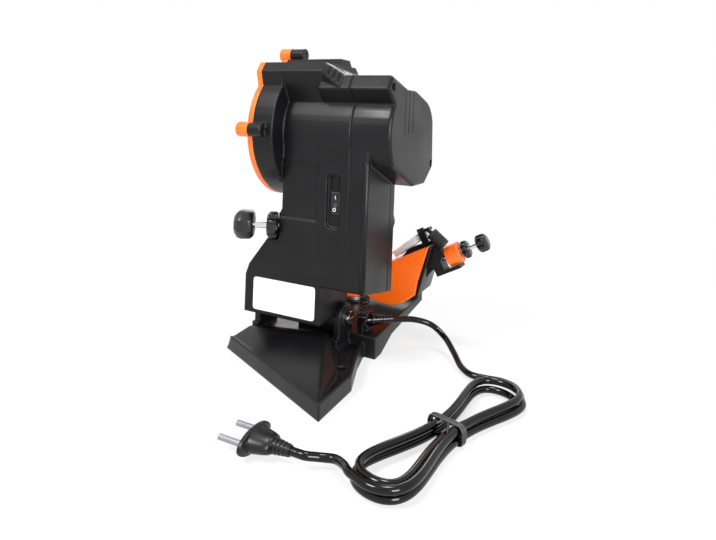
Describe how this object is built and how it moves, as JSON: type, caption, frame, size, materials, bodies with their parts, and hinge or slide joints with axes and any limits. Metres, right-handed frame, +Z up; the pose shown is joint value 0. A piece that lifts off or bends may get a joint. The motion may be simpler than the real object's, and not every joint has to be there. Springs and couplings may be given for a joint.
{
  "type": "chainsaw sharpener",
  "caption": "Electric bench sharpener for saw chain: a guarded grinding wheel on a tilting head, a swivelling vise, a slotted base and a tied cord with a plug.",
  "frame": {"origin": "on the bench, under the middle of the head's hinge", "axes": "+X along the wheel's axis from the wheel to the vented end, +Y to the vise and the user, +Z up"},
  "size_m": [0.2682, 0.3095, 0.2851],
  "materials": {
    "moulding": "satin black moulded plastic",
    "orange": "glossy orange moulded plastic",
    "chrome": "bright plated steel",
    "steel": "plain steel",
    "dark": "blackened steel",
    "copper": "copper bars",
    "abrasive": "coarse abrasive",
    "knob": "smooth black plastic",
    "paper": "bare white film",
    "cable": "smooth black sheath"
  },
  "bodies": {
    "stand": {"base": "moulding", "hinge_screw": "chrome", "return_spring": "dark", "cord_grommet": "cable", "cord_lead": "cable", "cord_hank": "cable", "cord_tail": "cable", "cord_tie": "dark", "plug_body": "cable", "left_plug_pin": "chrome", "right_plug_pin": "chrome"},
    "head": {"housing_left_shell": "moulding", "housing_right_shell": "moulding", "rear_housing_screw": "steel", "front_housing_screw": "steel", "guard_cover": "orange", "rear_guard_screw": "steel", "top_guard_screw": "steel", "motor_stator": "steel", "wheel_side_bearing": "steel", "end_bearing": "steel", "upper_brush_holder": "dark", "lower_brush_holder": "dark", "switch_body": "knob", "label_plate": "paper"},
    "wheel_train": {"grinding_wheel": "abrasive", "inner_flange": "steel", "outer_flange": "steel", "spindle_nut": "chrome", "spindle": "steel", "motor_rotor": "steel", "commutator": "copper", "cooling_fan": "dark"},
    "rocker": {"switch_rocker": "knob"},
    "depth_stop": {"depth_screw": "knob"},
    "depth_ring": {"depth_lock_ring": "knob"},
    "vise": {"vise_body": "orange", "screw_bracket": "dark", "screw_collar": "orange", "fixed_jaw_rail": "steel", "swivel_plate": "steel", "swivel_bolt": "steel"},
    "swivel_knob": {"swivel_lock_knob": "knob"},
    "moving_jaw": {"moving_jaw_rail": "steel"},
    "lever": {"clamp_lever": "knob"},
    "adjuster": {"adjusting_screw": "knob"},
    "adjuster_ring": {"adjusting_lock_ring": "knob"},
    "chain_stop": {"stop_carrier": "dark", "leaf_pin": "chrome"},
    "stop_nut": {"stop_barrel": "knob"},
    "stop_leaf": {"chain_stop_leaf": "chrome"}
  },
  "joints": [
    {"name": "head_tilt", "type": "hinge", "parent": "stand", "child": "head", "pos_m": [0, 0, 0.036], "axis": [-1, 0, 0], "range_deg": [0, 30], "stiffness_Nm_per_rad": 4.2, "springref_deg": -6.88, "deforming": ["return_spring"]},
    {"name": "wheel_spin", "type": "hinge", "parent": "head", "child": "wheel_train", "pos_m": [0, 0.004, 0.206], "axis": [1, 0, 0], "continuous": true},
    {"name": "switch_rock", "type": "hinge", "parent": "head", "child": "rocker", "pos_m": [0.0467, -0.0341, 0.1455], "axis": [1, 0, 0], "range_deg": [-12, 0]},
    {"name": "depth_screw_travel", "type": "slide", "parent": "head", "child": "depth_stop", "axis": [-0.8829, -0.4695, 0], "range_m": [-0.007, 0.008]},
    {"name": "depth_ring_turn", "type": "hinge", "parent": "head", "child": "depth_ring", "pos_m": [-0.0075, -0.0335, 0.12], "axis": [-0.8829, -0.4695, 0], "continuous": true},
    {"name": "vise_swivel", "type": "hinge", "parent": "stand", "child": "vise", "pos_m": [0.006, 0.089, 0.026], "axis": [0, 0, 1], "range_deg": [-30, 30]},
    {"name": "swivel_knob_turn", "type": "hinge", "parent": "vise", "child": "swivel_knob", "pos_m": [0.006, 0.089, 0.012], "axis": [0, 0, 1], "range_deg": [0, 180]},
    {"name": "clamp_lever_turn", "type": "hinge", "parent": "vise", "child": "lever", "pos_m": [0.02, 0.11, 0.098], "axis": [0, -1, 0], "range_deg": [0, 60]},
    {"name": "jaw_travel", "type": "slide", "parent": "vise", "child": "moving_jaw", "axis": [0, 1, 0], "range_m": [0, 0.0013]},
    {"name": "adjusting_screw_turn", "type": "hinge", "parent": "vise", "child": "adjuster", "pos_m": [0.13809, 0.09, 0.0976], "axis": [0.8829, 0, 0.4695], "range_deg": [0, 1728]},
    {"name": "stop_travel", "type": "slide", "parent": "vise", "child": "chain_stop", "axis": [0.8829, 0, 0.4695], "range_m": [0, 0.006]},
    {"name": "adjuster_ring_turn", "type": "hinge", "parent": "vise", "child": "adjuster_ring", "pos_m": [0.12855, 0.09, 0.09253], "axis": [0.8829, 0, 0.4695], "continuous": true},
    {"name": "stop_nut_turn", "type": "hinge", "parent": "chain_stop", "child": "stop_nut", "pos_m": [0.08999, 0.08, 0.11031], "axis": [0.7944, 0, -0.6074], "continuous": true},
    {"name": "stop_leaf_flip", "type": "hinge", "parent": "chain_stop", "child": "stop_leaf", "pos_m": [0.083, 0.094, 0.10535], "axis": [0, 1, 0], "range_deg": [0, 45]}
  ],
  "couplings": [
    {"joint": "clamp_lever_turn", "follows": "jaw_travel", "rad_per_m": 805.53},
    {"joint": "adjusting_screw_turn", "follows": "stop_travel", "rad_per_m": 5026.5}
  ]
}
